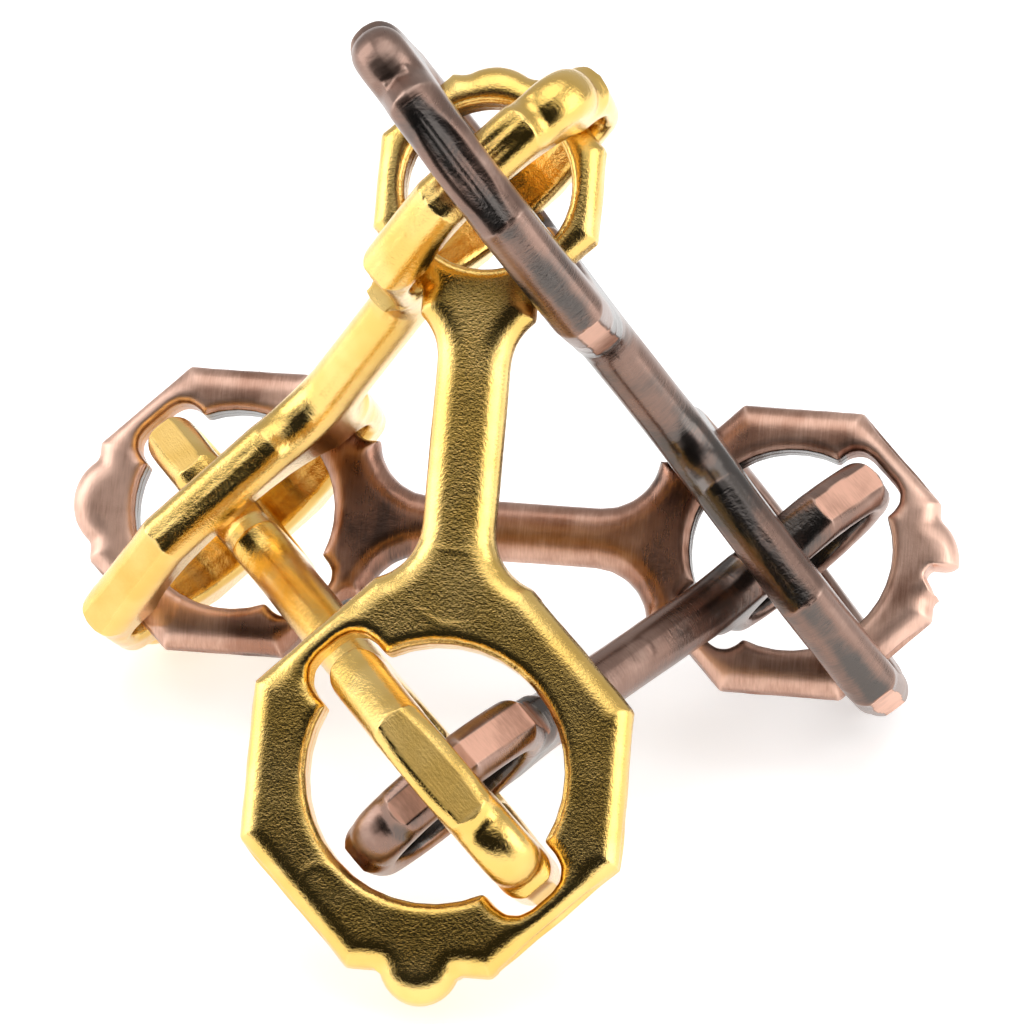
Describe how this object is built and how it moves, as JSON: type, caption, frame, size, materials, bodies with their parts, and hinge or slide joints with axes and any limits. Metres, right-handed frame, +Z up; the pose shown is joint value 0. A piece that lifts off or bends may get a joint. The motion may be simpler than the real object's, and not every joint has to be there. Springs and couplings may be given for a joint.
{
  "type": "metal ring disentanglement puzzle",
  "caption": "Interlocked cast metal links, each with an octagonal ring at both ends of a bar, caught in each other as a pyramid cage that stands on its lowest ring tips.",
  "frame": {"origin": "on the surface that the cage stands on, under the middle of its box", "axes": "+Z up, from the three ring tips that it stands on to its top rings; +X to the right along the bar of the rear link; the large-ringed gold link leans back from the front at -Y to the top"},
  "size_m": [0.0718, 0.0658, 0.0674],
  "materials": {
    "gold_plating": "polished gold plating over a zinc casting, a little uneven",
    "antique_copper": "antiqued copper plating: brushed pink copper on the high spots, dark brown to gunmetal in the hollows"
  },
  "bodies": {
    "gold_small_large": {"gold_link_small_large": "gold_plating"},
    "bronze_medium_medium": {"bronze_link_medium_medium": "antique_copper"},
    "gold_medium_large": {"gold_link_medium_large": "gold_plating"},
    "bronze_large_large": {"bronze_link_large_large": "antique_copper"},
    "gold_small_medium": {"gold_link_small_medium": "gold_plating"},
    "bronze_small_small": {"bronze_link_small_small": "antique_copper"}
  },
  "joints": [
    {"name": "twist_medium_large", "type": "hinge", "parent": "gold_small_large", "child": "gold_medium_large", "pos_m": [-0.01129, 0.01163, 0.03404], "axis": [-0.501, 0.2812, -0.8185], "range_deg": [-1.5, 5]},
    {"name": "twist_large_large", "type": "hinge", "parent": "gold_small_large", "child": "bronze_large_large", "pos_m": [0.01071, 0.01141, 0.03372], "axis": [0.4897, 0.2807, -0.8255], "range_deg": [-6, 2]},
    {"name": "twist_small_medium", "type": "hinge", "parent": "gold_small_large", "child": "gold_small_medium", "pos_m": [-0.01132, -0.00085, 0.01547], "axis": [0.5157, -0.8567, -0.0106], "range_deg": [-1.9, 2.2]},
    {"name": "twist_small_small", "type": "hinge", "parent": "gold_small_large", "child": "bronze_small_small", "pos_m": [0.01154, -0.00063, 0.01504], "axis": [-0.5001, -0.8653, -0.0339], "range_deg": [-2.7, 1.9]},
    {"name": "twist_medium_medium", "type": "hinge", "parent": "gold_small_large", "child": "bronze_medium_medium", "pos_m": [0, 0.01822, 0.01566], "axis": [1, 0, 0], "range_deg": [-1, 4.5]}
  ]
}
